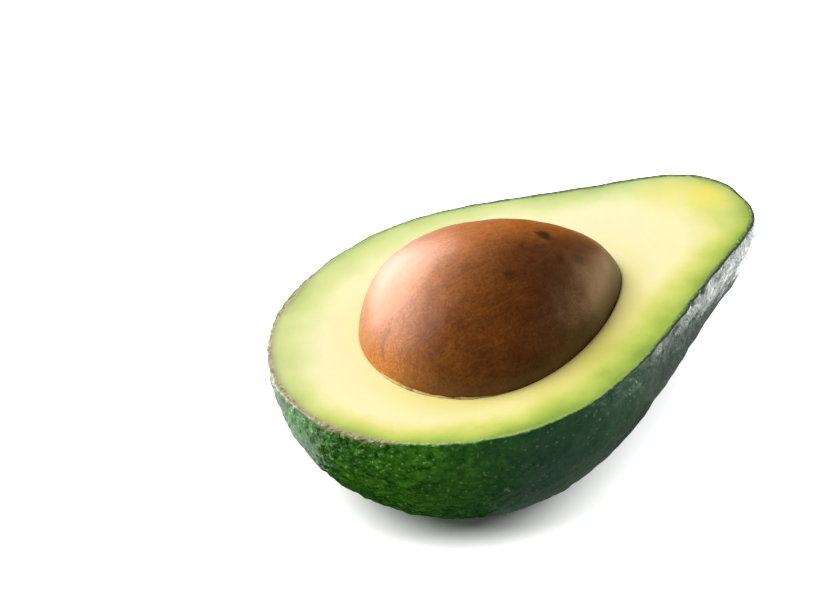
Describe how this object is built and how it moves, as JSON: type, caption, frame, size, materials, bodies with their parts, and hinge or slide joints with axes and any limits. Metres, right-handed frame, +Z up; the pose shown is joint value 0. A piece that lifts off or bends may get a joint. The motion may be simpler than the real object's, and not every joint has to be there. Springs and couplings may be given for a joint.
{
  "type": "avocado half",
  "caption": "Half an avocado cut lengthwise, lying on its round back with its seed sitting in the pale flesh.",
  "frame": {"origin": "middle of the small flat spot under the belly, on the surface that the half rests on", "axes": "+Z up; +X along the fruit towards its neck, level; +Y across it, to the left of someone who looks along +X"},
  "size_m": [0.1078, 0.075, 0.0558],
  "materials": {
    "peel": null,
    "flesh": null,
    "seed": null
  },
  "bodies": {
    "root": {"peel": "peel", "flesh": "flesh", "seed": "seed"}
  },
  "joints": []
}
